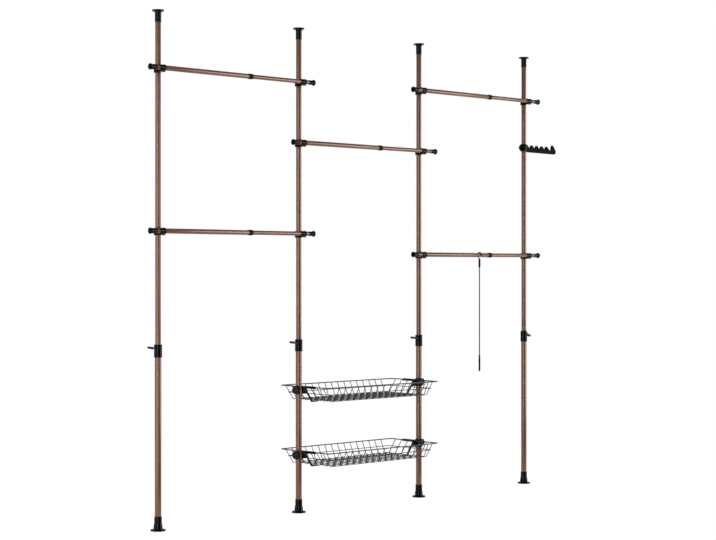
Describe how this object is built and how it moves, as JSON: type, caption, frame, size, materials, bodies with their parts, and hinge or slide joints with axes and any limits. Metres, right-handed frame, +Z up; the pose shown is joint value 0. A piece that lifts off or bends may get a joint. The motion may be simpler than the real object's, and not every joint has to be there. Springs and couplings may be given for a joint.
{
  "type": "open frame wardrobe",
  "caption": "Open frame wardrobe of telescopic floor-to-ceiling poles with telescopic hanging bars, cross clamps, wire baskets, a swivelling hook rail and a reach stick.",
  "frame": {"origin": "middle of the whole footprint, on the floor under the feet", "axes": "+X along the row of poles towards the hook rail, -Y towards the person, where the hanging bars are, +Z up"},
  "size_m": [3.0854, 0.371, 2.5],
  "materials": {
    "brown_tube": "satin brown lacquer on steel tube",
    "black_plastic": "moulded black plastic, slight sheen",
    "black_wire": "black coated steel wire",
    "grey_rod": "thin lacquered steel rod"
  },
  "bodies": {
    "middle_posts": {"foot_2": "black_plastic", "lower_tube_2": "brown_tube", "lock_collar_2": "black_plastic", "foot_3": "black_plastic", "lower_tube_3": "brown_tube", "lock_collar_3": "black_plastic"},
    "left_post": {"foot_1": "black_plastic", "lower_tube_1": "brown_tube", "lock_collar_1": "black_plastic"},
    "right_post": {"foot_4": "black_plastic", "lower_tube_4": "brown_tube", "lock_collar_4": "black_plastic"},
    "upper_pole_1": {"upper_tube_1": "brown_tube", "ceiling_cap_1": "black_plastic"},
    "upper_pole_2": {"upper_tube_2": "brown_tube", "ceiling_cap_2": "black_plastic"},
    "upper_pole_3": {"upper_tube_3": "brown_tube", "ceiling_cap_3": "black_plastic"},
    "upper_pole_4": {"upper_tube_4": "brown_tube", "ceiling_cap_4": "black_plastic"},
    "lever_1": {"lock_lever_1": "black_plastic"},
    "lever_2": {"lock_lever_2": "black_plastic"},
    "lever_3": {"lock_lever_3": "black_plastic"},
    "lever_4": {"lock_lever_4": "black_plastic"},
    "bar_1_inner": {"bar_inner_tube_1": "brown_tube", "cross_clamp_right_1": "black_plastic"},
    "bar_1_outer": {"bar_outer_tube_1": "brown_tube", "cross_clamp_left_1": "black_plastic"},
    "bar_2_inner": {"bar_inner_tube_2": "brown_tube", "cross_clamp_right_2": "black_plastic"},
    "bar_2_outer": {"bar_outer_tube_2": "brown_tube", "cross_clamp_left_2": "black_plastic"},
    "bar_3": {"bar_outer_tube_3": "brown_tube", "bar_inner_tube_3": "brown_tube", "cross_clamp_left_3": "black_plastic", "cross_clamp_right_3": "black_plastic"},
    "bar_4_outer": {"bar_outer_tube_4": "brown_tube", "cross_clamp_left_4": "black_plastic"},
    "bar_4_inner": {"bar_inner_tube_4": "brown_tube", "cross_clamp_right_4": "black_plastic"},
    "bar_5_outer": {"bar_outer_tube_5": "brown_tube", "cross_clamp_left_5": "black_plastic"},
    "bar_5_inner": {"bar_inner_tube_5": "brown_tube", "cross_clamp_right_5": "black_plastic"},
    "reach_stick": {"reach_stick_head": "black_plastic", "reach_stick_rod": "grey_rod", "reach_stick_grip": "black_plastic"},
    "bracket_upper_left": {"basket_bracket_upper_left": "black_plastic"},
    "bracket_upper_right": {"basket_bracket_upper_right": "black_plastic"},
    "bracket_lower_left": {"basket_bracket_lower_left": "black_plastic"},
    "bracket_lower_right": {"basket_bracket_lower_right": "black_plastic"},
    "knob_upper_left": {"bracket_knob_upper_left": "black_plastic"},
    "knob_upper_right": {"bracket_knob_upper_right": "black_plastic"},
    "knob_lower_left": {"bracket_knob_lower_left": "black_plastic"},
    "knob_lower_right": {"bracket_knob_lower_right": "black_plastic"},
    "basket_upper_body": {"basket_upper": "black_wire"},
    "basket_lower_body": {"basket_lower": "black_wire"},
    "hook_rail_body": {"hook_rail": "black_plastic"},
    "rail_knob": {"hook_rail_knob": "black_plastic"}
  },
  "joints": [
    {"name": "left_bay_width", "type": "slide", "parent": "middle_posts", "child": "left_post", "axis": [1, 0, 0], "range_m": [-0.15, 0.3]},
    {"name": "right_bay_width", "type": "slide", "parent": "middle_posts", "child": "right_post", "axis": [1, 0, 0], "range_m": [-0.3, 0.15]},
    {"name": "pole_height_1", "type": "slide", "parent": "left_post", "child": "upper_pole_1", "axis": [0, 0, 1], "range_m": [-0.1, 0.2]},
    {"name": "pole_height_2", "type": "slide", "parent": "middle_posts", "child": "upper_pole_2", "axis": [0, 0, 1], "range_m": [-0.1, 0.2]},
    {"name": "pole_height_3", "type": "slide", "parent": "middle_posts", "child": "upper_pole_3", "axis": [0, 0, 1], "range_m": [-0.1, 0.2]},
    {"name": "pole_height_4", "type": "slide", "parent": "right_post", "child": "upper_pole_4", "axis": [0, 0, 1], "range_m": [-0.1, 0.2]},
    {"name": "lock_lever_turn_1", "type": "hinge", "parent": "left_post", "child": "lever_1", "pos_m": [-1.48465, 0, 0.8773], "axis": [0, 1, 0], "range_deg": [-80, 30]},
    {"name": "lock_lever_turn_2", "type": "hinge", "parent": "middle_posts", "child": "lever_2", "pos_m": [-0.57765, 0, 0.8773], "axis": [0, 1, 0], "range_deg": [-80, 30]},
    {"name": "lock_lever_turn_3", "type": "hinge", "parent": "middle_posts", "child": "lever_3", "pos_m": [0.31235, 0, 0.8773], "axis": [0, 1, 0], "range_deg": [-80, 30]},
    {"name": "lock_lever_turn_4", "type": "hinge", "parent": "right_post", "child": "lever_4", "pos_m": [1.24935, 0, 0.8773], "axis": [0, -1, 0], "range_deg": [-45, 65]},
    {"name": "bar_height_1", "type": "slide", "parent": "middle_posts", "child": "bar_1_inner", "axis": [0, 0, 1], "range_m": [-0.15, 0.08]},
    {"name": "bar_length_1", "type": "slide", "parent": "bar_1_inner", "child": "bar_1_outer", "axis": [1, 0, 0], "range_m": [-0.15, 0.3]},
    {"name": "bar_height_2", "type": "slide", "parent": "middle_posts", "child": "bar_2_inner", "axis": [0, 0, 1], "range_m": [-0.25, 0.15]},
    {"name": "bar_length_2", "type": "slide", "parent": "bar_2_inner", "child": "bar_2_outer", "axis": [1, 0, 0], "range_m": [-0.15, 0.3]},
    {"name": "bar_height_3", "type": "slide", "parent": "middle_posts", "child": "bar_3", "axis": [0, 0, 1], "range_m": [-0.2, 0.1]},
    {"name": "bar_height_4", "type": "slide", "parent": "middle_posts", "child": "bar_4_outer", "axis": [0, 0, 1], "range_m": [-0.15, 0.08]},
    {"name": "bar_length_4", "type": "slide", "parent": "bar_4_outer", "child": "bar_4_inner", "axis": [1, 0, 0], "range_m": [-0.3, 0.15]},
    {"name": "bar_height_5", "type": "slide", "parent": "middle_posts", "child": "bar_5_outer", "axis": [0, 0, 1], "range_m": [-0.2, 0.2]},
    {"name": "bar_length_5", "type": "slide", "parent": "bar_5_outer", "child": "bar_5_inner", "axis": [1, 0, 0], "range_m": [-0.3, 0.15]},
    {"name": "reach_stick_swing", "type": "hinge", "parent": "bar_5_outer", "child": "reach_stick", "pos_m": [0.78509, -0.046, 1.33666], "axis": [1, 0, 0], "range_deg": [-45, 45]},
    {"name": "bracket_height_upper_left", "type": "slide", "parent": "middle_posts", "child": "bracket_upper_left", "axis": [0, 0, 1], "range_m": [-0.07, 0.1]},
    {"name": "bracket_height_upper_right", "type": "slide", "parent": "middle_posts", "child": "bracket_upper_right", "axis": [0, 0, 1], "range_m": [-0.07, 0.1]},
    {"name": "bracket_height_lower_left", "type": "slide", "parent": "middle_posts", "child": "bracket_lower_left", "axis": [0, 0, 1], "range_m": [-0.12, 0.08]},
    {"name": "bracket_height_lower_right", "type": "slide", "parent": "middle_posts", "child": "bracket_lower_right", "axis": [0, 0, 1], "range_m": [-0.12, 0.08]},
    {"name": "knob_turn_upper_left", "type": "hinge", "parent": "bracket_upper_left", "child": "knob_upper_left", "pos_m": [-0.55165, 0, 0.63451], "axis": [-0.9397, -0.342, 0], "range_deg": [-180, 180]},
    {"name": "knob_turn_upper_right", "type": "hinge", "parent": "bracket_upper_right", "child": "knob_upper_right", "pos_m": [0.33835, 0, 0.63451], "axis": [0.9397, 0.342, 0], "range_deg": [-180, 180]},
    {"name": "knob_turn_lower_left", "type": "hinge", "parent": "bracket_lower_left", "child": "knob_lower_left", "pos_m": [-0.55165, 0, 0.30011], "axis": [-0.9397, -0.342, 0], "range_deg": [-180, 180]},
    {"name": "knob_turn_lower_right", "type": "hinge", "parent": "bracket_lower_right", "child": "knob_lower_right", "pos_m": [0.33835, 0, 0.30011], "axis": [0.9397, 0.342, 0], "range_deg": [-180, 180]},
    {"name": "basket_lift_upper", "type": "slide", "parent": "bracket_upper_left", "child": "basket_upper_body", "axis": [0, 0, 1], "range_m": [0, 0.08]},
    {"name": "basket_lift_lower", "type": "slide", "parent": "bracket_lower_left", "child": "basket_lower_body", "axis": [0, 0, 1], "range_m": [0, 0.08]},
    {"name": "hook_rail_swivel", "type": "hinge", "parent": "right_post", "child": "hook_rail_body", "pos_m": [1.22335, 0, 1.96771], "axis": [0, 0, 1], "continuous": true},
    {"name": "rail_knob_turn", "type": "hinge", "parent": "hook_rail_body", "child": "rail_knob", "pos_m": [1.22335, 0, 1.96771], "axis": [-0.9063, -0.4226, 0], "range_deg": [-180, 180]}
  ],
  "couplings": [
    {"joint": "bar_length_1", "follows": "left_bay_width", "ratio": 1},
    {"joint": "bar_length_2", "follows": "left_bay_width", "ratio": 1},
    {"joint": "bar_length_4", "follows": "right_bay_width", "ratio": 1},
    {"joint": "bar_length_5", "follows": "right_bay_width", "ratio": 1},
    {"joint": "bracket_height_upper_right", "follows": "bracket_height_upper_left", "ratio": 1},
    {"joint": "bracket_height_lower_right", "follows": "bracket_height_lower_left", "ratio": 1}
  ]
}
